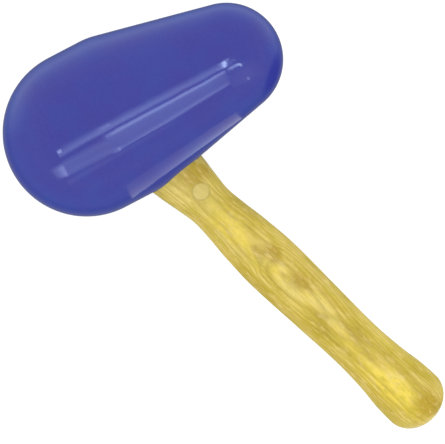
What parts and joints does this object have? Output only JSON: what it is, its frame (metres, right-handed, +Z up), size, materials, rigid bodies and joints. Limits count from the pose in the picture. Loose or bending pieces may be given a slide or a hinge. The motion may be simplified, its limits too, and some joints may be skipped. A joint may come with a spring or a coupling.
{
  "type": "dead blow mallet",
  "caption": "Teardrop dead blow mallet for metal shaping: hollow blue plastic head with a large and a small domed face, loose steel shot inside, oval wooden handle.",
  "frame": {"origin": "centre of the bounding box in plan, on the floor, with the mallet lying on its side", "axes": "+X along the head from the large face to the small face; the handle runs toward -Y, leaning to +X; +Z up from the floor"},
  "size_m": [0.1816, 0.3064, 0.102],
  "materials": {
    "head_plastic": "glossy moulded blue plastic",
    "cap_plastic": "glossy moulded blue plastic",
    "sleeve_plastic": "plain moulded plastic, hidden",
    "handle_wood": "pale yellow hardwood under clear lacquer",
    "bolt_steel": "plain steel, hidden",
    "washer_steel": "plain steel, hidden",
    "nut_steel": "plain steel, hidden",
    "plug_wood": "pale hardwood end grain under clear lacquer",
    "plug_plastic": "glossy moulded blue plastic",
    "shot_steel": "polished steel balls, hidden"
  },
  "bodies": {
    "mallet": {"head_body": "head_plastic", "face_cap": "cap_plastic", "eye_sleeve": "sleeve_plastic", "handle": "handle_wood", "handle_bolt": "bolt_steel", "bolt_washer": "washer_steel", "barrel_nut": "nut_steel", "neck_plug": "plug_wood", "top_plug": "plug_plastic"},
    "shot": {"shot_charge": "shot_steel"}
  },
  "joints": [
    {"name": "shot_slide", "type": "slide", "parent": "mallet", "child": "shot", "axis": [1, 0, 0], "range_m": [0, 0.012]}
  ]
}
